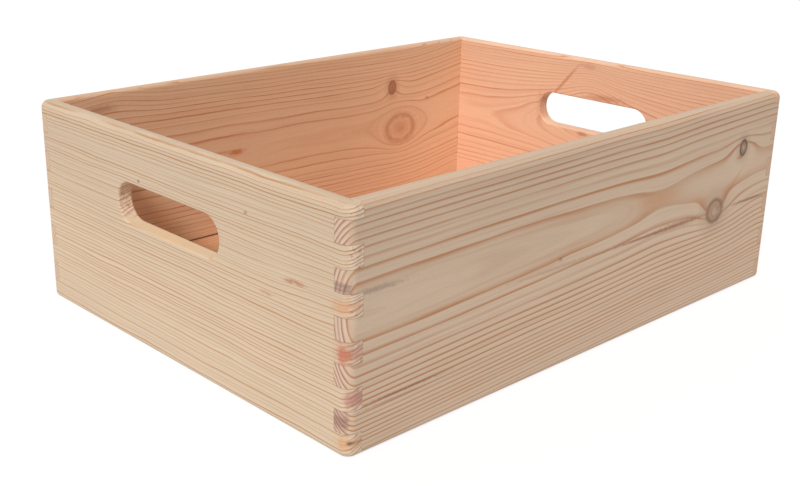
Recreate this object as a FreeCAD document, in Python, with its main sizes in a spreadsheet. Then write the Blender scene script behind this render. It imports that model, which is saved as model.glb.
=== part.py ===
"""Wooden apple crate: four finger-jointed pine boards round a boarded base that sits in a groove.

Millimetres. +X runs along the long sides, +Z is up, and the origin is the middle of the footprint
on the surface that the crate stands on. Every board is a solid of its own. The boards are glued at
the corners and then rounded over together, so each one is cut out of one rounded crate outline.
"""
import FreeCAD
import Part
import Sketcher
import os

DRIVING_SIZES = [
    ("crate_length", 400.0, "outside, along X"),
    ("crate_width", 300.0, "outside, along Y"),
    ("crate_height", 135.0, "outside, along Z"),
    ("wall_thickness", 10.0, "all four side boards"),
    ("corner_radius", 6.0, "upright outer corners"),
    ("rim_outer_radius", 5.0, "outer edge of the rim"),
    ("rim_inner_radius", 2.5, "inner edge of the rim"),
    ("bottom_radius", 3.0, "outer bottom edges"),
    ("finger_height", 12.6, "every full corner finger"),
    ("finger_start", 13.6, "underside of a long side's lowest finger"),
    ("finger_count", 5, "fingers at each end of a long side"),
    ("hole_length", 102.0, "hand hole, end to end"),
    ("hole_height", 25.5, "hand hole, and the diameter of its round ends"),
    ("left_hole_middle", 89.6, "height of the left hand hole's centre line"),
    ("left_hole_shift", 6.0, "how far the left hand hole sits towards the back"),
    ("right_hole_middle", 91.2, "height of the right hand hole's centre line"),
    ("right_hole_shift", 1.0, "how far the right hand hole sits towards the back"),
    ("hole_easing", 1.2, "rounding of the hand hole's edges"),
    ("groove_floor", 8.0, "height of the ledge that the base rests on"),
    ("groove_height", 9.3, "a little more than the base, so that it lies loose"),
    ("groove_depth", 5.0, "into each side board"),
    ("base_thickness", 8.0, "the base boards"),
    ("base_count", 4, "boards across the base"),
    ("base_play", 1.0, "room round the base, hidden in the groove"),
    ("tongue_length", 3.0, "along one edge of a base board"),
    ("tongue_thickness", 2.6, "along one edge of a base board"),
    ("tongue_play", 0.3, "room round a tongue in its slot"),
    ("base_chamfer", 0.8, "along the joints between base boards"),
]
DERIVED_SIZES = [
    ("inner_length", "=crate_length - 2 * wall_thickness"),
    ("inner_width", "=crate_width - 2 * wall_thickness"),
    ("base_length", "=inner_length + 2 * groove_depth - 2 * base_play"),
    ("base_width", "=inner_width + 2 * groove_depth - 2 * base_play"),
    ("base_pitch", "=base_width / base_count"),
]
CLOSE = 0.01
BLANK = "_blank"
BASE_NAMES = ["base_board_front", "base_board_mid_front", "base_board_mid_back", "base_board_back"]

doc = FreeCAD.newDocument("apple_crate")


def fill_sheet():
    """The driving sizes, and the sizes worked out from them, each with its alias."""
    sheet = doc.addObject("Spreadsheet::Sheet", "Sizes")
    row = 1
    for alias, value, note in DRIVING_SIZES:
        sheet.set(f"A{row}", alias)
        sheet.set(f"B{row}", str(value))
        sheet.set(f"C{row}", note)
        sheet.setAlias(f"B{row}", alias)
        row += 1
    for alias, formula in DERIVED_SIZES:
        sheet.set(f"A{row}", alias)
        sheet.set(f"B{row}", formula)
        sheet.setAlias(f"B{row}", alias)
        row += 1
    doc.recompute()
    return sheet


sizes = fill_sheet()
ALIASES = sorted([entry[0] for entry in DRIVING_SIZES + DERIVED_SIZES], key=len, reverse=True)


def bound(text):
    """An expression over the sheet's aliases, with the sheet's name put before each of them."""
    for index, alias in enumerate(ALIASES):
        text = text.replace(alias, f"<{index}>")
    for index, alias in enumerate(ALIASES):
        text = text.replace(f"<{index}>", f"Sizes.{alias}")
    return text


def value(text):
    """What an expression over the sheet's aliases comes to."""
    return float(sizes.evalExpression(bound(text).replace("Sizes.", "")))


def new_body(name):
    return doc.addObject("PartDesign::Body", name)


def new_sketch(body, name, plane):
    """An empty sketch on one of the body's own origin planes."""
    sketch = body.newObject("Sketcher::SketchObject", name)
    origin_plane = next(item for item in body.Origin.OriginFeatures if item.Role == plane)
    sketch.AttachmentSupport = [(origin_plane, "")]
    sketch.MapMode = "FlatFace"
    return sketch


def add_rectangle(sketch, left, right, bottom, top):
    """An upright rectangle whose place and size are expressions over the sheet."""
    low = FreeCAD.Vector(value(left), value(bottom), 0)
    high = FreeCAD.Vector(value(right), value(top), 0)
    corners = [low, FreeCAD.Vector(high.x, low.y, 0), high, FreeCAD.Vector(low.x, high.y, 0)]
    first = sketch.GeometryCount
    for index in range(4):
        sketch.addGeometry(Part.LineSegment(corners[index], corners[(index + 1) % 4]), False)
    for index in range(4):
        following = first + (index + 1) % 4
        sketch.addConstraint(Sketcher.Constraint("Coincident", first + index, 2, following, 1))
    for index in (0, 2):
        sketch.addConstraint(Sketcher.Constraint("Horizontal", first + index))
        sketch.addConstraint(Sketcher.Constraint("Vertical", first + index + 1))
    drive(sketch, Sketcher.Constraint("DistanceX", -1, 1, first, 1, low.x), left)
    drive(sketch, Sketcher.Constraint("DistanceY", -1, 1, first, 1, low.y), bottom)
    drive(sketch, Sketcher.Constraint("DistanceX", -1, 1, first + 1, 2, high.x), right)
    drive(sketch, Sketcher.Constraint("DistanceY", -1, 1, first + 1, 2, high.y), top)


def drive(sketch, constraint, expression):
    """Adds a dimension to a sketch and binds it to the sheet."""
    index = sketch.addConstraint(constraint)
    sketch.setExpression(f"Constraints[{index}]", bound(expression))


def add_stadium(sketch, length, width, centre, middle):
    """A slot with round ends: its centre across and up are expressions, like its size."""
    radius = value(width) / 2
    right_end = f"{centre} + ({length} - {width}) / 2"
    left_end = f"{centre} - ({length} - {width}) / 2"
    right = value(right_end)
    left = value(left_end)
    height = value(middle)
    up = FreeCAD.Vector(0, 0, 1)
    quarter = FreeCAD.Units.parseQuantity("90 deg").getValueAs("rad").Value
    right_circle = Part.Circle(FreeCAD.Vector(right, height, 0), up, radius)
    left_circle = Part.Circle(FreeCAD.Vector(left, height, 0), up, radius)
    sketch.addGeometry(Part.ArcOfCircle(right_circle, -quarter, quarter), False)
    sketch.addGeometry(Part.ArcOfCircle(left_circle, quarter, 3 * quarter), False)
    for side, start, end in ((1, right, left), (-1, left, right)):
        edge_height = height + side * radius
        line = Part.LineSegment(
            FreeCAD.Vector(start, edge_height, 0), FreeCAD.Vector(end, edge_height, 0)
        )
        sketch.addGeometry(line, False)
    for arc, arc_end, line, line_end in ((0, 2, 2, 1), (1, 1, 2, 2), (1, 2, 3, 1), (0, 1, 3, 2)):
        sketch.addConstraint(Sketcher.Constraint("Tangent", arc, arc_end, line, line_end))
    sketch.addConstraint(Sketcher.Constraint("Horizontal", 2))
    drive(sketch, Sketcher.Constraint("Radius", 0, radius), f"{width} / 2")
    drive(sketch, Sketcher.Constraint("DistanceX", -1, 1, 0, 3, right), right_end)
    drive(sketch, Sketcher.Constraint("DistanceX", -1, 1, 1, 3, left), left_end)
    drive(sketch, Sketcher.Constraint("DistanceY", -1, 1, 0, 3, height), middle)


def pad(body, sketch, length, midplane=False):
    feature = body.newObject("PartDesign::Pad", sketch.Name + "_pad")
    feature.Profile = sketch
    feature.setExpression("Length", bound(length))
    feature.Midplane = midplane
    sketch.Visibility = False
    doc.recompute()
    return feature


def pocket(body, sketch, depth, reverse=True):
    """Cuts the sketch out, along its own normal, and makes sure that it cut something."""
    before = body.Shape.Volume
    feature = body.newObject("PartDesign::Pocket", sketch.Name + "_pocket")
    feature.Profile = sketch
    feature.setExpression("Length", bound(depth))
    feature.Reversed = reverse
    sketch.Visibility = False
    doc.recompute()
    if body.Shape.Volume > before - 1:
        raise RuntimeError(f"{feature.Name} cut nothing")
    return feature


def repeat_upward(body, feature, sketch):
    """Repeats a finger or a notch up the board, one finger's height of gap between them."""
    pattern = body.newObject("PartDesign::LinearPattern", feature.Name + "_rows")
    pattern.Originals = [feature]
    pattern.Direction = (sketch, ["V_Axis"])
    pattern.setExpression("Length", bound("2 * finger_height * (finger_count - 1)"))
    pattern.setExpression("Occurrences", bound("finger_count"))
    body.Tip = pattern
    doc.recompute()
    return pattern


def round_edges(body, chosen, radius, name):
    """Fillets the edges of the body's tip that the chosen test picks out."""
    tip = body.Tip
    edges = [f"Edge{i + 1}" for i, edge in enumerate(tip.Shape.Edges) if chosen(edge.BoundBox)]
    feature = body.newObject("PartDesign::Fillet", name)
    feature.Base = (tip, edges)
    feature.setExpression("Radius", bound(radius))
    doc.recompute()
    return feature


def crate_outline():
    """The whole crate's walls as one rounded ring, which the side boards are cut to."""
    body = new_body("crate_outline")
    plan = new_sketch(body, "outline_plan", "XY_Plane")
    add_rectangle(plan, "-crate_length / 2", "crate_length / 2", "-crate_width / 2", "crate_width / 2")
    pad(body, plan, "crate_height")
    height = value("crate_height")
    round_edges(body, lambda box: box.ZLength > height - CLOSE, "corner_radius", "upright_rounding")
    well = new_sketch(body, "outline_well", "XY_Plane")
    add_rectangle(well, "-inner_length / 2", "inner_length / 2", "-inner_width / 2", "inner_width / 2")
    pocket(body, well, "crate_height")
    inner = (value("inner_length") / 2 + CLOSE, value("inner_width") / 2 + CLOSE)

    def is_rim(box):
        return box.ZMin > height - CLOSE

    def is_bottom(box):
        return box.ZMax < CLOSE

    def is_outer(box):
        across = max(abs(box.XMin), abs(box.XMax))
        along = max(abs(box.YMin), abs(box.YMax))
        return across > inner[0] or along > inner[1]

    round_edges(body, lambda box: is_rim(box) and is_outer(box), "rim_outer_radius", "rim_outer_rounding")
    round_edges(body, lambda box: is_rim(box) and not is_outer(box), "rim_inner_radius", "rim_inner_rounding")
    round_edges(body, lambda box: is_bottom(box) and is_outer(box), "bottom_radius", "bottom_rounding")
    body.Visibility = False
    return body


def corner_rectangles(sketch, half_inside, half_outside):
    """One finger or notch at each end of a board, at the height of the lowest one."""
    bottom = "finger_start"
    top = "finger_start + finger_height"
    add_rectangle(sketch, half_inside, half_outside, bottom, top)
    add_rectangle(sketch, f"-({half_outside})", f"-({half_inside})", bottom, top)


def base_groove(body, half_length):
    """The groove in a side board's inner face that holds the edge of the base."""
    sketch = new_sketch(body, body.Name + "_groove", "XZ_Plane")
    add_rectangle(
        sketch, f"-({half_length})", half_length, "groove_floor", "groove_floor + groove_height"
    )
    pocket(body, sketch, "groove_depth")


def long_board(name):
    """A long side: its five fingers at each end stand out beyond the inner length."""
    body = new_body(name + BLANK)
    plank = new_sketch(body, name + "_plank", "XZ_Plane")
    add_rectangle(plank, "-inner_length / 2", "inner_length / 2", "0", "crate_height")
    pad(body, plank, "wall_thickness")
    fingers = new_sketch(body, name + "_fingers", "XZ_Plane")
    corner_rectangles(fingers, "inner_length / 2", "crate_length / 2")
    repeat_upward(body, pad(body, fingers, "wall_thickness"), fingers)
    base_groove(body, "inner_length / 2 + groove_depth")
    return body


def end_board(name, side, towards_back):
    """An end with its hand hole: notches at each end take the long sides' fingers."""
    body = new_body(name + BLANK)
    plank = new_sketch(body, name + "_plank", "XZ_Plane")
    add_rectangle(plank, "-crate_width / 2", "crate_width / 2", "0", "crate_height")
    pad(body, plank, "wall_thickness")
    notches = new_sketch(body, name + "_notches", "XZ_Plane")
    corner_rectangles(notches, "inner_width / 2", "crate_width / 2")
    repeat_upward(body, pocket(body, notches, "wall_thickness"), notches)
    base_groove(body, "inner_width / 2 + groove_depth")
    hole = new_sketch(body, name + "_hand_hole", "XZ_Plane")
    centre = f"{towards_back} * {side}_hole_shift"
    middle = f"{side}_hole_middle"
    add_stadium(hole, "hole_length", "hole_height", centre, middle)
    pocket(body, hole, "wall_thickness")
    half_hole = value("hole_length / 2") + CLOSE
    half_height = value("hole_height / 2") + CLOSE

    def on_hole_edge(box):
        beside = max(abs(box.XMin - value(centre)), abs(box.XMax - value(centre))) < half_hole
        level = max(abs(box.ZMin - value(middle)), abs(box.ZMax - value(middle))) < half_height
        return beside and level and box.YLength < CLOSE

    round_edges(body, on_hole_edge, "hole_easing", name + "_hole_easing")
    return body


def stand_up(body, turn, across, offset):
    """Turns a board round the upright axis and moves its inner face out to its side of the crate."""
    body.Placement = FreeCAD.Placement(
        FreeCAD.Vector(0, 0, 0), FreeCAD.Rotation(FreeCAD.Vector(0, 0, 1), turn)
    )
    body.setExpression(f"Placement.Base.{across}", bound(offset))
    body.Visibility = False


def rounded_board(name, body, outline):
    """The finished side board: its blank, cut to the rounded outline of the whole crate."""
    board = doc.addObject("Part::Common", name)
    board.Base = body
    board.Tool = outline
    board.Label = name
    return board


def side_boards():
    outline = crate_outline()
    plans = [
        (long_board("front_long_board"), 0, "y", "-inner_width / 2"),
        (long_board("back_long_board"), 180, "y", "inner_width / 2"),
        (end_board("left_end_board", "left", -1), -90, "x", "-inner_length / 2"),
        (end_board("right_end_board", "right", 1), 90, "x", "inner_length / 2"),
    ]
    boards = []
    for body, turn, across, offset in plans:
        stand_up(body, turn, across, offset)
        boards.append(rounded_board(body.Name.replace(BLANK, ""), body, outline))
    doc.recompute()
    return boards


def base_board(name, index):
    """One board of the base, with a tongue on its back edge and a slot in its front edge."""
    body = new_body(name)
    body.Label = name
    section = new_sketch(body, name + "_section", "YZ_Plane")
    add_rectangle(section, "0", "base_pitch", "0", "base_thickness")
    pad(body, section, "base_length", midplane=True)
    count = int(value("base_count"))
    pitch = value("base_pitch")
    joints = []
    if index > 0:
        joints.append(0)
    if index < count - 1:
        joints.append(pitch)

    def on_joint_edge(box):
        at_joint = any(abs(box.YMin - place) < CLOSE and box.YLength < CLOSE for place in joints)
        return at_joint and box.ZLength < CLOSE

    tip = body.Tip
    edges = [f"Edge{i + 1}" for i, edge in enumerate(tip.Shape.Edges) if on_joint_edge(edge.BoundBox)]
    chamfer = body.newObject("PartDesign::Chamfer", name + "_chamfer")
    chamfer.Base = (tip, edges)
    chamfer.setExpression("Size", bound("base_chamfer"))
    doc.recompute()
    if index > 0:
        slot = new_sketch(body, name + "_slot", "YZ_Plane")
        half_slot = "(tongue_thickness / 2 + tongue_play)"
        add_rectangle(
            slot,
            "0",
            "tongue_length + tongue_play",
            f"base_thickness / 2 - {half_slot}",
            f"base_thickness / 2 + {half_slot}",
        )
        feature = pocket(body, slot, "base_length")
        feature.Midplane = True
        doc.recompute()
    if index < count - 1:
        tongue = new_sketch(body, name + "_tongue", "YZ_Plane")
        add_rectangle(
            tongue,
            "base_pitch",
            "base_pitch + tongue_length",
            "(base_thickness - tongue_thickness) / 2",
            "(base_thickness + tongue_thickness) / 2",
        )
        pad(body, tongue, "base_length", midplane=True)
    body.setExpression("Placement.Base.y", bound(f"-base_width / 2 + {index} * base_pitch"))
    body.setExpression("Placement.Base.z", bound("groove_floor"))
    doc.recompute()
    return body


def check_and_export(parts):
    """Stops on any failed feature, then writes one STEP file for each board."""
    for item in doc.Objects:
        if "Invalid" in item.State or "Error" in item.State:
            raise RuntimeError(f"{item.Name} failed to recompute")
    os.makedirs("parts", exist_ok=True)
    for part in parts:
        if part.Shape.isNull() or not part.Shape.isValid() or len(part.Shape.Solids) != 1:
            raise RuntimeError(f"{part.Label} is not one valid solid")
        part.Shape.exportStep(f"parts/{part.Label}.step")


crate = side_boards()
for board_index, board_name in enumerate(BASE_NAMES):
    crate.append(base_board(board_name, board_index))
doc.recompute()
check_and_export(crate)
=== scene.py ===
"""Looks of the pine crate: solid wood grain worked out from a log's rings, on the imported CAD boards."""
from dataclasses import dataclass, field
from math import pi, radians

import bpy
from mathutils import Matrix, Vector


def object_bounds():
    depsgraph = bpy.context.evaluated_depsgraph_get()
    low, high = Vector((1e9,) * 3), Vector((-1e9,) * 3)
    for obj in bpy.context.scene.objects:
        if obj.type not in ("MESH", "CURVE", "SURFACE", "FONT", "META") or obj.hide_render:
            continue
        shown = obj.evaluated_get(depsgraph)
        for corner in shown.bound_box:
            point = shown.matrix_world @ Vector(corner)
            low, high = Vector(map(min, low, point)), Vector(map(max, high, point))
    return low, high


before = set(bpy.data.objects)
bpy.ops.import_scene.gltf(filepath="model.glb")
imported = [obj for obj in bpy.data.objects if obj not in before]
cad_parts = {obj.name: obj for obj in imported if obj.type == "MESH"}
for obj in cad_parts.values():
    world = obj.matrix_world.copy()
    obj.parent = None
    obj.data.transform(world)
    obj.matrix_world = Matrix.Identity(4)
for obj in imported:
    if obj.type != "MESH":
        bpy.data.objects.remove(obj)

CAD_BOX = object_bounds()
MM = 0.001

# --- numbers that a material's nodes work out -------------------------------------------------


class Num:
    """A value in a node tree. Arithmetic on it adds Math nodes."""

    def __init__(self, tree, socket):
        self.tree = tree
        self.socket = socket

    def op(self, operation, *others):
        node = self.tree.nodes.new("ShaderNodeMath")
        node.operation = operation
        for entry, item in zip(node.inputs, (self, *others)):
            feed(self.tree, entry, item)
        return Num(self.tree, node.outputs[0])

    def __add__(self, other):
        return self.op("ADD", other)

    def __sub__(self, other):
        return self.op("SUBTRACT", other)

    def __mul__(self, other):
        return self.op("MULTIPLY", other)

    def __truediv__(self, other):
        return self.op("DIVIDE", other)

    def root(self):
        return self.op("SQRT")

    def floor(self):
        return self.op("FLOOR")

    def fraction(self):
        return self.op("FRACT")

    def power(self, exponent):
        return self.op("POWER", exponent)

    def cosine(self):
        return self.op("COSINE")

    def size(self):
        return self.op("ABSOLUTE")

    def largest(self, other):
        return self.op("MAXIMUM", other)

    def between(self):
        """Held between 0 and 1."""
        return self.op("MAXIMUM", 0.0).op("MINIMUM", 1.0)

    def flipped(self):
        """1 minus the value."""
        return (self * -1.0) + 1.0

    def bell(self):
        """1 where the value is 0, falling smoothly to nothing by about 2."""
        return (self * self * -1.0).op("EXPONENT")


def feed(tree, entry, item):
    """Links a value or writes a plain number or colour into a socket."""
    if isinstance(item, Num):
        tree.links.new(item.socket, entry)
    else:
        entry.default_value = item


def ramp(value, low, high):
    """Goes smoothly from 0 where the value is low to 1 where it is high; high may be the smaller."""
    node = value.tree.nodes.new("ShaderNodeMapRange")
    node.interpolation_type = "SMOOTHSTEP"
    feed(value.tree, node.inputs["Value"], value)
    rising = low < high
    node.inputs["From Min"].default_value = low if rising else high
    node.inputs["From Max"].default_value = high if rising else low
    node.inputs["To Min"].default_value = 0.0 if rising else 1.0
    node.inputs["To Max"].default_value = 1.0 if rising else 0.0
    return Num(value.tree, node.outputs["Result"])


def noise(x, y, z, detail=2.0, roughness=0.5):
    """Smooth noise from about -1 to 1, one feature per unit of its coordinates."""
    tree = x.tree
    join = tree.nodes.new("ShaderNodeCombineXYZ")
    for entry, item in zip(join.inputs, (x, y, z)):
        feed(tree, entry, item)
    node = tree.nodes.new("ShaderNodeTexNoise")
    tree.links.new(join.outputs[0], node.inputs["Vector"])
    node.inputs["Scale"].default_value = 1.0
    node.inputs["Detail"].default_value = detail
    node.inputs["Roughness"].default_value = roughness
    return (Num(tree, node.outputs["Fac"]) - 0.5) * 2.0


def texture(place, along_size, across_size, seed=0.0, detail=2.0, roughness=0.5):
    """Noise with features of these sizes, in millimetres along the fibres and across them."""
    along, up, depth = place
    return noise(along / along_size + seed, up / across_size, depth / across_size, detail, roughness)


def chance(value):
    """A random number from 0 to 1, the same wherever the value is the same."""
    node = value.tree.nodes.new("ShaderNodeTexWhiteNoise")
    node.noise_dimensions = "1D"
    feed(value.tree, node.inputs["W"], value)
    return Num(value.tree, node.outputs["Value"])


def mixed(share, below, above, blend="MIX"):
    """Colour: below where the share is 0, above where it is 1."""
    tree = share.tree
    node = tree.nodes.new("ShaderNodeMix")
    node.data_type = "RGBA"
    node.blend_type = blend
    feed(tree, node.inputs[0], share)
    feed(tree, node.inputs[6], below)
    feed(tree, node.inputs[7], above)
    return Num(tree, node.outputs[2])


def srgb(red, green, blue):
    """A linear colour from the usual 0 to 255 values."""
    def linear(level):
        share = level / 255.0
        return share / 12.92 if share <= 0.04045 else ((share + 0.055) / 1.055) ** 2.4

    return (linear(red), linear(green), linear(blue), 1.0)


# --- what grows in a board ------------------------------------------------------------------------

# Sizes are in millimetres. The rest are counts and shares.
FINGER = 12.6
FINGER_START = 13.6
FINGER_LEVELS = 9
WALL = 10.0
BASE_TOP = 16.0
GRAZING_STRENGTH = 0.28
GRAZING_REACH = 24.0
LINE_DARKEST = 0.94
LINE_END = 0.95
RUBBED_AWAY = 0.85
KNOT_EDGE = 0.96
END_GRAIN_COVER = 0.9
# Painted shade in the seams of the finger joints: its colour and strength.
SEAM_SHADE = srgb(112, 72, 50)
SEAM_SHADE_STRENGTH = 0.3
SEAM_CORE = 0.12
SEAM_EDGE = 0.42
ROUGHNESS = 0.62
GLOSS = 0.35
RELIEF_STRENGTH = 0.5
RELIEF_HEIGHT = 0.06


@dataclass
class Knot:
    """A branch through the board: where it is, how big, and how far it pushes the rings aside."""

    along: float
    up: float
    half_length: float
    half_height: float
    push: float
    spread_along: float = 26.0
    spread_up: float = 12.0
    rings: float = 3.0
    body: tuple = srgb(186, 128, 92)
    rim: tuple = srgb(120, 78, 56)
    heart: tuple = srgb(206, 172, 146)
    rim_strength: float = 0.75
    solid: float = 0.8
    halo: float = 0.25


@dataclass
class Patch:
    """A soft-edged area of a board's face that discolours it, paints a highlight on it, strengthens its
    rings or shifts them.
    """

    along: float
    up: float
    half_length: float
    half_height: float
    strength: float
    colour: tuple = srgb(196, 130, 88)
    rough: float = 0.5
    slope: float = 0.0


@dataclass
class Board:
    """How one board was cut out of its log, and what its wood looks like.

    grain is the axis along the fibres, and depth the one through the board from its face. The pith, the
    middle of the log, lies pith_up up the board and pith_depth behind its face. swells bend it in depth
    and climbs in height, each with a place, a reach and an amount. ring is a year's growth, and years are
    counted from ring_from out. joint_from is where the corner fingers start, or 0 on a board without them.
    """

    grain: str
    depth: str
    face: float
    inward: float
    pith_up: float
    pith_depth: float
    pith_climb: float = 0.0
    swells: list = field(default_factory=list)
    climbs: list = field(default_factory=list)
    pushes: list = field(default_factory=list)
    wave: float = 1.0
    ripple: float = 0.35
    ring: float = 3.0
    ring_from: float = 50.0
    tightening: float = 0.0
    jitter: float = 0.45
    late_from: float = 0.64
    minor: float = 0.18
    shading: float = 0.12
    seed: float = 0.0
    joint_from: float = 0.0
    fingers_first: bool = True
    early: tuple = srgb(226, 196, 160)
    late: tuple = srgb(190, 138, 96)
    contrast: float = 1.0
    end_pale: tuple = srgb(232, 200, 174)
    end_line: tuple = srgb(164, 100, 76)
    torn: float = 0.0
    # Painted shade: how much darker the board is made towards its top.
    painted_top_shade: float = 0.0
    knots: list = field(default_factory=list)
    # Stains, and patches of painted highlight, laid over the grain.
    stains_and_highlights: list = field(default_factory=list)
    accents: list = field(default_factory=list)


def board_coordinates(tree, board):
    """Millimetres along the grain, up the board's width and in through its thickness."""
    place = tree.nodes.new("ShaderNodeTexCoord")
    split = tree.nodes.new("ShaderNodeSeparateXYZ")
    tree.links.new(place.outputs["Object"], split.inputs[0])
    axes = {name: Num(tree, split.outputs[name]) * (1 / MM) for name in "XYZ"}
    along = axes[board.grain]
    depth = (axes[board.depth] - board.face) * board.inward
    across = next(name for name in "ZYX" if name not in (board.grain, board.depth))
    return along, axes[across], depth


def squared(value):
    return value * value


def window(along, up, centre, reach, slope=0.0):
    """1 at the centre, fading out over the reach; both are (along, up), and a slope shears it."""
    across = along - centre[0]
    rise = up - centre[1]
    if slope:
        rise = rise - across * slope
    return ((squared(across / reach[0]) + squared(rise / reach[1])) * -1.0).op("EXPONENT")


def opened(along, up, patch):
    """1 at the middle of a patch, fading out over its half length and half height."""
    reach = (patch.half_length, patch.half_height)
    return window(along, up, (patch.along, patch.up), reach, patch.slope)


def ring_distance(board, place):
    """Distance from the pith, waved and pushed aside by knots, and how strongly its ring shows."""
    along, up, depth = place
    pith_up = along * board.pith_climb + board.pith_up
    pith_depth = board.pith_depth
    for centre, reach, amount in board.swells:
        pith_depth = ((along - centre) / reach).bell() * amount + pith_depth
    for centre, reach, amount in board.climbs:
        pith_up = pith_up + ((along - centre) / reach).bell() * amount
    rise = up - pith_up
    distance = (squared(rise) + squared(depth - pith_depth)).root()
    slow = texture(place, 110.0, 26.0, board.seed, detail=1.0)
    quick = texture(place, 34.0, 9.0, board.seed)
    distance = distance + slow * board.wave + quick * board.ripple
    for knot in board.knots:
        reach = (knot.spread_along, knot.spread_up)
        distance = distance - window(along, up, (knot.along, knot.up), reach) * knot.push
    for push in board.pushes:
        distance = distance - opened(along, up, push) * push.strength
    grazing = ramp(rise.size(), 0.0, GRAZING_REACH)
    return distance, grazing * (1.0 - GRAZING_STRENGTH) + GRAZING_STRENGTH


def ring_pattern(board, distance, along):
    """Each year's dark line, the faint shading between lines, and the broad late wood of end grain."""
    past = (distance - board.ring_from) / board.ring
    jitter = noise(past / 2.3 + board.seed, 0.0, 0.0, detail=1.0)
    count = past + squared(past) * board.tightening + jitter * board.jitter
    share = count.fraction()
    ending = ramp(share, 1.0, LINE_END)
    year = chance(count.floor() + board.seed)
    fading = noise(along / 55.0 + board.seed, count.floor() * 3.7, 0.0, detail=1.0)
    line = ramp(share, board.late_from, LINE_DARKEST).power(1.6) * ending
    line = line * (year * 0.8 + 0.3) * (fading * 0.8 + 1.0)
    minor = noise(past * 3.3 + board.seed, along / 160.0, 0.0)
    faint = ramp(minor, -0.1, 0.5) * board.minor + share * board.shading
    broad = ramp(share, 0.35, 0.85) * ending * (year * 0.4 + 0.6)
    return line, faint, broad


def knot_layers(board, knot, place):
    """The knot's disc, rim, rings, heart and halo, each from 0 to 1."""
    along, up, depth = place
    ragged = noise(along / 5.0 + board.seed, up / 5.0, depth / 8.0, detail=3.0)
    far = squared((along - knot.along) / knot.half_length) + squared((up - knot.up) / knot.half_height)
    radius = far.root() + ragged * 0.3
    disc = ramp(radius, 1.06, 0.94)
    rim = ((radius - KNOT_EDGE) / 0.17).bell() * ramp(ragged, -0.7, 0.25)
    rings = (radius * (2 * pi * knot.rings)).cosine() * 0.5 + 0.5
    heart = (radius / 0.34).bell() * 0.8
    halo = ramp(radius, 2.6, 1.0)
    return disc, rim, rings, heart, halo


def grain_colour(board, place, rubbed):
    """The colour along the fibres, with the ring lines that raise it and that its sawn ends show."""
    along, up = place[:2]
    distance, showing = ring_distance(board, place)
    line, faint, broad = ring_pattern(board, distance, along)
    fine = texture(place, 30.0, 0.55, board.seed, detail=3.0, roughness=0.6)
    streak = texture(place, 120.0, 2.6, board.seed)
    blotch = texture(place, 90.0, 34.0, board.seed)
    speckle = texture(place, 1.1, 0.7, detail=1.0)
    strength = line * showing * board.contrast
    for accent in board.accents:
        strength = strength * (opened(along, up, accent) * accent.strength + 1.0)
    strength = (strength * (fine * 0.5 + 1.0) + faint + streak * 0.10).between()
    strength = strength * (rubbed * -RUBBED_AWAY + 1.0)
    tone = fine * 0.09 + streak * 0.03 + blotch * 0.045 + speckle * 0.08 + 1.0
    # Painted shade: darker towards the top, standing in for floor light that brightens the lower part.
    tone = tone - ramp(up, 30.0, 135.0) * board.painted_top_shade
    return scaled(mixed(strength, board.early, board.late), tone), line, broad


def scaled(colour, amount):
    """The colour times a number."""
    tree = colour.tree
    node = tree.nodes.new("ShaderNodeVectorMath")
    node.operation = "SCALE"
    feed(tree, node.inputs[0], colour)
    feed(tree, node.inputs["Scale"], amount)
    return Num(tree, node.outputs[0])


def stained_or_highlighted(board, stain_or_highlight, colour, along, up):
    """A discoloured patch or pitch streak with a ragged edge, or a painted highlight."""
    ragged = noise(along / 3.0 + board.seed, up / 1.6, 0.0, detail=3.0) * 0.7
    near = opened(along, up, stain_or_highlight)
    here = ramp(near + ragged * stain_or_highlight.rough, 0.05, 1.0) * ramp(near, 0.0, 0.15)
    return mixed(here * stain_or_highlight.strength, colour, stain_or_highlight.colour)


def knotted(board, knot, colour, place):
    """Lays one knot over the board's colour."""
    disc, rim, rings, heart, halo = knot_layers(board, knot, place)
    colour = mixed(halo * knot.halo, colour, knot.body)
    inside = mixed(heart, mixed(rings * 0.5, knot.body, knot.rim), knot.heart)
    colour = mixed(disc * knot.solid, colour, inside)
    return mixed(rim * knot.rim_strength, colour, knot.rim)


def facing(tree, board):
    """1 on faces sawn across the fibres, and 1 on faces that look up."""
    geometry = tree.nodes.new("ShaderNodeNewGeometry")
    split = tree.nodes.new("ShaderNodeSeparateXYZ")
    tree.links.new(geometry.outputs["Normal"], split.inputs[0])
    across = ramp(Num(tree, split.outputs[board.grain]).size(), 0.55, 0.9)
    upward = ramp(Num(tree, split.outputs["Z"]), 0.75, 0.98)
    return across, upward


def seam_shade(board, along, up):
    """Painted shade: thin dark lines in the seams round the fingers at a wall board's two ends."""
    beyond = along.size() - board.joint_from
    level = (up - FINGER_START) / FINGER
    to_seam = ((level + 0.5).fraction() - 0.5).size() * FINGER
    ragged = noise(along / 3.0 + board.seed, up / 3.0, 0.0) * 0.14
    flat_seam = ramp(to_seam + ragged, SEAM_EDGE, SEAM_CORE) * ramp(beyond, -0.2, 0.1)
    own_finger = ramp((level / 2.0).fraction(), 0.49, 0.51)
    if not board.fingers_first:
        own_finger = own_finger.flipped()
    upright_seam = ramp(beyond.size() + ragged, SEAM_EDGE, SEAM_CORE) * own_finger
    within = ramp(level, -0.5, -0.2) * ramp(level, FINGER_LEVELS + 0.5, FINGER_LEVELS + 0.2)
    return flat_seam.largest(upright_seam) * within


def end_grain(board, place, broad, fibre):
    """The colour of faces sawn across the fibres: broad arcs, and fibres torn by the saw."""
    torn = texture(place, 2.4, 1.8, board.seed, detail=3.0)
    dark = (broad * (fibre * 0.4 + 0.9) + ramp(torn, 0.0, 0.45) * board.torn).between()
    return mixed(dark, board.end_pale, board.end_line)


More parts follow.
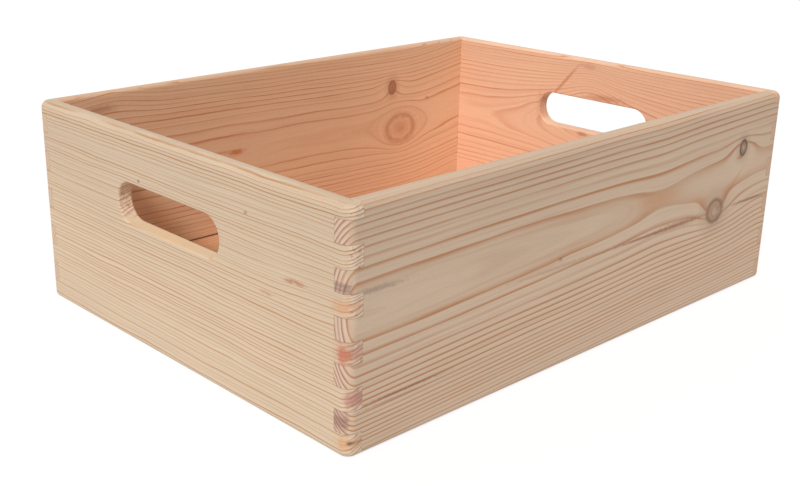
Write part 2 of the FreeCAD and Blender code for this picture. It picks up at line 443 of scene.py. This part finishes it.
def relief(tree, place, line):
    """The surface's direction over raised ring lines and fine fibres."""
    fibres = texture(place, 12.0, 0.45)
    bump = tree.nodes.new("ShaderNodeBump")
    bump.inputs["Strength"].default_value = RELIEF_STRENGTH
    bump.inputs["Distance"].default_value = RELIEF_HEIGHT * MM
    feed(tree, bump.inputs["Height"], line * 0.5 + fibres * 0.35)
    return bump.outputs["Normal"]


def pine(name, board):
    """The finished material of one board."""
    material = bpy.data.materials.new(name)
    material.use_nodes = True
    tree = material.node_tree
    shader = tree.nodes["Principled BSDF"]
    place = board_coordinates(tree, board)
    along, up = place[:2]
    across, upward = facing(tree, board)
    rubbed = upward if board.joint_from else 0.0
    colour, line, broad = grain_colour(board, place, rubbed)
    fibre = texture(place, 0.7, 0.7)
    colour = mixed(across * END_GRAIN_COVER, colour, end_grain(board, place, broad, fibre))
    # Stains, and painted highlights such as the one on the left board's hand-hole ledge.
    for stain_or_highlight in board.stains_and_highlights:
        colour = stained_or_highlighted(board, stain_or_highlight, colour, along, up)
    for knot in board.knots:
        colour = knotted(board, knot, colour, place)
    if board.joint_from:
        # Painted shade along the seams round the corner fingers.
        colour = mixed(seam_shade(board, along, up) * SEAM_SHADE_STRENGTH, colour, SEAM_SHADE)
    feed(tree, shader.inputs["Base Color"], colour)
    feed(tree, shader.inputs["Roughness"], fibre * 0.05 + line * -0.08 + ROUGHNESS)
    shader.inputs["Specular IOR Level"].default_value = GLOSS
    tree.links.new(relief(tree, place, line), shader.inputs["Normal"])
    return material


# --- the eight boards -----------------------------------------------------------------------------

HALF_LENGTH = CAD_BOX[1].x / MM
HALF_WIDTH = CAD_BOX[1].y / MM

FRONT = Board(
    grain="X", depth="Y", face=-HALF_WIDTH, inward=1.0,
    joint_from=HALF_LENGTH - WALL, fingers_first=True,
    pith_up=83.5, pith_depth=-49.2, pith_climb=0.026,
    swells=[(-190.0, 160.0, 1.7), (62.0, 30.0, -0.8)],
    wave=0.45, ripple=0.14, ring=2.8, ring_from=50.4, seed=3.0, jitter=0.35, tightening=0.015,
    late_from=0.50, minor=0.28, contrast=0.82, shading=0.14, painted_top_shade=0.10,
    early=srgb(235, 206, 177), late=srgb(204, 142, 96),
    pushes=[Patch(188, 48, 30, 26, -3.2)],
    knots=[
        Knot(155, 102.5, 4.4, 5.4, 3.0, 16, 8, rings=1.0, rim=srgb(96, 68, 54), body=srgb(150, 114, 92),
             rim_strength=0.9),
        Knot(127, 64, 9.4, 8.4, 4.0, 20, 10, rings=2.4, rim=srgb(140, 98, 70), body=srgb(188, 148, 118),
             heart=srgb(210, 184, 162), rim_strength=0.7, solid=0.75, halo=0.35),
    ],
    stains_and_highlights=[
        Patch(62, 63.6, 58, 1.1, 0.85, srgb(170, 110, 72), 0.5),
        Patch(88, 64.2, 30, 2.6, 0.5, srgb(172, 118, 84), 0.9),
        Patch(172, 63.6, 26, 1.1, 0.8, srgb(158, 102, 70), 0.5),
        Patch(60, 86, 24, 4.0, 0.45, srgb(222, 158, 106), 0.6),
        Patch(-182, 88.5, 22, 1.6, 0.5, srgb(144, 120, 106), 0.9),
        Patch(152, 96.5, 4, 1.6, 0.7, srgb(204, 120, 84), 0.6),
        Patch(146, 79, 14, 1.6, 0.35, srgb(204, 136, 92), 0.6, slope=0.8),
        Patch(-40, 64.5, 45, 1.2, 0.35, srgb(190, 126, 84), 0.9),
        Patch(-36, 69, 1.6, 1.2, 0.7, srgb(160, 104, 78), 0.3),
        Patch(-160, 27.6, 34, 0.9, 0.7, srgb(168, 104, 72), 0.7),
        Patch(-166, 24.6, 28, 0.7, 0.5, srgb(172, 110, 78), 0.7),
        Patch(-199, 92, 2.6, 3.2, 0.6, srgb(132, 96, 88), 0.9),
        Patch(-199.5, 20.5, 2.2, 5.0, 0.6, srgb(140, 90, 84), 0.9),
    ],
    accents=[
        Patch(40, 102, 120, 2.4, 1.0),
        Patch(-165, 30, 45, 2.5, 1.6),
        Patch(0, 22, 400, 24.0, 1.1),
        Patch(0, 124, 260, 2.5, 0.5),
        Patch(40, 85, 130, 9.0, 0.55),
    ],
)
BACK = Board(
    grain="X", depth="Y", face=HALF_WIDTH, inward=-1.0,
    joint_from=HALF_LENGTH - WALL, fingers_first=True,
    pith_up=74.0, pith_depth=-42.0, pith_climb=-0.02,
    climbs=[(215.0, 55.0, 13.0)],
    pushes=[Patch(-150, 130, 28, 14, 3.5)],
    wave=0.9, ring=2.7, ring_from=54.0, seed=11.0, tightening=0.03, contrast=0.85,
    late_from=0.68, minor=0.22,
    early=srgb(233, 193, 158), late=srgb(198, 128, 86),
    end_pale=srgb(234, 204, 174), end_line=srgb(204, 156, 122),
    knots=[
        Knot(119, 67.5, 17, 12.5, 7.5, 20, 17, rings=2.5, rim=srgb(180, 116, 82), body=srgb(218, 162, 124),
             heart=srgb(184, 122, 92), rim_strength=0.4, solid=0.45, halo=0.1),
        Knot(109, 103, 4.2, 5.6, 3.5, 13, 8, rings=1.0, rim=srgb(150, 88, 64), body=srgb(168, 104, 78),
             heart=srgb(146, 86, 66), rim_strength=0.6, solid=0.7),
    ],
    stains_and_highlights=[
        Patch(-50, 76, 8, 2.2, 0.9, srgb(200, 122, 70)),
        Patch(-66, 77.5, 14, 1.2, 0.5, srgb(200, 122, 70)),
        Patch(150, 89, 2.2, 1.0, 0.6, srgb(160, 90, 60)),
        Patch(-160, 124, 12, 3.0, 0.45, srgb(164, 100, 80), 0.9),
    ],
)
LEFT = Board(
    grain="Y", depth="X", face=-HALF_LENGTH, inward=1.0,
    joint_from=HALF_WIDTH - WALL, fingers_first=False,
    pith_up=-120.0, pith_depth=60.0, wave=1.6, ripple=0.7, ring=2.2, seed=23.0, jitter=1.0, contrast=1.1,
    late_from=0.62, minor=0.24, painted_top_shade=0.10, torn=0.6,
    early=srgb(237, 212, 182), late=srgb(206, 150, 100),
    end_pale=srgb(246, 222, 194), end_line=srgb(190, 128, 92),
    pushes=[Patch(-152, 84, 45, 12, 3.0)],
    stains_and_highlights=[
        # Painted highlight: the lit top of the hand hole's bottom ledge.
        Patch(6, 77.5, 48, 1.2, 0.85, srgb(248, 208, 160), 0.3),
        Patch(-112, 85, 7, 1.3, 0.75, srgb(196, 126, 82), 0.9),
        Patch(-104, 84, 4, 0.9, 0.7, srgb(190, 120, 80), 0.9),
        Patch(-86, 72, 6, 1.0, 0.5, srgb(200, 136, 92), 0.9),
        Patch(33, 106, 1.4, 1.0, 0.8, srgb(150, 100, 76), 0.3),
        Patch(-70, 112, 1.6, 1.0, 0.7, srgb(180, 120, 86), 0.3),
        Patch(-145, 82, 7, 4.0, 0.55, srgb(230, 156, 106), 0.9),
        Patch(-146, 57, 5.0, 6.0, 0.85, srgb(206, 116, 84), 0.9),
        Patch(-150, 33, 4.0, 5.0, 0.7, srgb(196, 128, 116), 0.8),
        Patch(-150, 64, 2.5, 9.0, 0.25, srgb(190, 150, 136), 0.8),
        Patch(-147, 8, 6, 4.0, 0.6, srgb(232, 168, 108), 0.8),
        Patch(-149, 8.5, 1.3, 1.3, 0.8, srgb(120, 80, 60), 0.2),
    ],
    accents=[Patch(0, 127, 300, 2.2, 1.8), Patch(0, 70, 130, 4.0, 1.0), Patch(0, 42, 160, 6.0, 0.7)],
)
RIGHT = Board(
    grain="Y", depth="X", face=HALF_LENGTH, inward=-1.0,
    joint_from=HALF_WIDTH - WALL, fingers_first=False,
    pith_up=74.0, pith_depth=-39.0, wave=0.7, ring=2.8, ring_from=48.6, seed=31.0, contrast=0.8,
    tightening=0.03, late_from=0.68, minor=0.2,
    early=srgb(247, 204, 171), late=srgb(214, 136, 96),
    end_pale=srgb(228, 190, 156), end_line=srgb(206, 150, 114),
    pushes=[Patch(6, 92, 56, 27, 10.0), Patch(2, 106, 20, 20, 6.0)],
    stains_and_highlights=[
        Patch(29, 114, 15, 2.2, 0.55, srgb(198, 114, 76), 0.6, slope=-1.13),
        Patch(-12, 107.5, 18, 2.4, 0.5, srgb(190, 110, 74), 0.8),
        Patch(8, 76, 5, 1.8, 0.6, srgb(176, 104, 72), 0.7),
        Patch(6, 130, 8, 3.0, 0.35, srgb(196, 134, 110), 0.8),
        Patch(50, 92, 5, 12.0, 0.35, srgb(204, 122, 82), 0.7),
    ],
)


# Each base board: its node, where its pith lies up and in, and its spring wood.
BASE_CUTS = [
    ("base_board_front", -94.0, 46.0, srgb(228, 180, 138)),
    ("base_board_mid_front", -76.0, 60.0, srgb(222, 172, 130)),
    ("base_board_mid_back", 58.0, -50.0, srgb(232, 186, 146)),
    ("base_board_back", 48.0, 44.0, srgb(226, 174, 132)),
]


def base_wood(index, pith_up, pith_depth, early):
    """A base board, with its own run of noise."""
    return Board(
        grain="X", depth="Z", face=BASE_TOP, inward=-1.0,
        pith_up=pith_up, pith_depth=pith_depth,
        wave=1.4, ring=3.2, seed=41.0 + 7.0 * index,
        early=early, late=srgb(188, 120, 80),
    )


def dress(node, material):
    """Gives a CAD board its finished material."""
    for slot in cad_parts[node].material_slots:
        slot.material = material


dress("front_long_board", pine("pine_front", FRONT))
dress("back_long_board", pine("pine_back", BACK))
dress("left_end_board", pine("pine_left", LEFT))
dress("right_end_board", pine("pine_right", RIGHT))
for index, (node, pith_up, pith_depth, early) in enumerate(BASE_CUTS):
    dress(node, pine(f"pine_base_{index + 1}", base_wood(index, pith_up, pith_depth, early)))

# --- floor, light and camera ------------------------------------------------------------------------

# Places are in metres. The lamps' angles are in radians, and the camera's in degrees.
FLOOR_REACH = 40.0
FLOOR_GREY = 0.34
FLOOR_GLOW = 0.72
KEY_STRENGTH = 1.85
KEY_ANGLE = 0.14
KEY_TRAVEL = Vector((1.0, 0.57, -1.19))
CORNER_STRENGTH = 9.0
CORNER_CONE = 0.19
CORNER_LAMP_RADIUS = 0.06
CORNER_LAMP_AWAY = 1.2
CORNER_AIM = Vector((0.190, 0.140, 0.040))
CORNER_TRAVEL = Vector((0.5, 1.0, -1.0)).normalized()
EYE = Vector((-0.545770, -0.532812, 0.297853))
VIEW_ROUND = 42.338
VIEW_UP = 19.635
VIEW_ROLL = 0.497


def floor():
    """A pale floor, a little self-lit. It shows and catches shadow but doesn't light the wood."""
    mesh = bpy.data.meshes.new("floor")
    corners = [
        (-FLOOR_REACH, -FLOOR_REACH, 0),
        (FLOOR_REACH, -FLOOR_REACH, 0),
        (FLOOR_REACH, FLOOR_REACH, 0),
        (-FLOOR_REACH, FLOOR_REACH, 0),
    ]
    mesh.from_pydata(corners, [], [(0, 1, 2, 3)])
    piece = bpy.data.objects.new("floor", mesh)
    bpy.context.scene.collection.objects.link(piece)
    material = bpy.data.materials.new("floor_white")
    material.use_nodes = True
    shader = material.node_tree.nodes["Principled BSDF"]
    shader.inputs["Base Color"].default_value = (FLOOR_GREY, FLOOR_GREY, FLOOR_GREY, 1.0)
    shader.inputs["Roughness"].default_value = 0.9
    shader.inputs["Specular IOR Level"].default_value = 0.0
    shader.inputs["Emission Color"].default_value = (1.0, 1.0, 1.0, 1.0)
    shader.inputs["Emission Strength"].default_value = FLOOR_GLOW
    mesh.materials.append(material)
    piece.visible_diffuse = False


def sky(upper, lower, front):
    """Even light from all round, of one strength from above, another from below, less from the front."""
    world = bpy.data.worlds.new("studio")
    bpy.context.scene.world = world
    world.use_nodes = True
    tree = world.node_tree
    place = tree.nodes.new("ShaderNodeTexCoord")
    split = tree.nodes.new("ShaderNodeSeparateXYZ")
    tree.links.new(place.outputs["Generated"], split.inputs[0])
    above = ramp(Num(tree, split.outputs["Z"]), -0.15, 0.15)
    ahead = ramp(Num(tree, split.outputs["Y"]), 0.3, -0.3)
    strength = (above * (upper - lower) + lower) * (ahead * (front - 1.0) + 1.0)
    feed(tree, tree.nodes["Background"].inputs["Strength"], strength)
    tree.nodes["Background"].inputs["Color"].default_value = (1.0, 1.0, 1.0, 1.0)


def lamp(name, kind, strength, travel):
    """A lamp whose light travels that way."""
    data = bpy.data.lights.new(name, kind)
    data.energy = strength
    piece = bpy.data.objects.new(name, data)
    piece.rotation_euler = travel.to_track_quat("-Z", "Y").to_euler()
    bpy.context.scene.collection.objects.link(piece)
    return piece


def lighting():
    """A broad key light from the front left and above, an even fill, and a spot for one corner."""
    sky(upper=0.52, lower=0.6, front=0.78)
    key = lamp("key", "SUN", KEY_STRENGTH, KEY_TRAVEL)
    key.data.angle = KEY_ANGLE
    corner_light()
    bpy.context.scene.view_settings.view_transform = "Standard"


def corner_light():
    """A soft spot that fills the inside corner farthest from the viewer."""
    spot = lamp("corner", "SPOT", CORNER_STRENGTH, CORNER_TRAVEL)
    spot.data.shadow_soft_size = CORNER_LAMP_RADIUS
    spot.data.spot_size = CORNER_CONE
    spot.data.spot_blend = 1.0
    spot.location = CORNER_AIM - CORNER_TRAVEL * CORNER_LAMP_AWAY


def camera():
    """The photograph's viewpoint: 42 degrees round from the front to the left and 20 degrees up."""
    data = bpy.data.cameras.new("camera")
    data.sensor_width = 36.0
    data.lens = 52.33
    data.shift_x = 0.0586
    data.shift_y = 0.0069
    data.clip_start = 0.01
    data.clip_end = 100.0
    piece = bpy.data.objects.new("camera", data)
    swing = Matrix.Rotation(radians(-VIEW_ROUND), 4, "Z")
    tip = Matrix.Rotation(radians(90.0 - VIEW_UP), 4, "X")
    roll = Matrix.Rotation(radians(VIEW_ROLL), 4, "Z")
    piece.matrix_world = Matrix.Translation(EYE) @ swing @ tip @ roll
    bpy.context.scene.collection.objects.link(piece)
    bpy.context.scene.camera = piece


floor()
lighting()
camera()
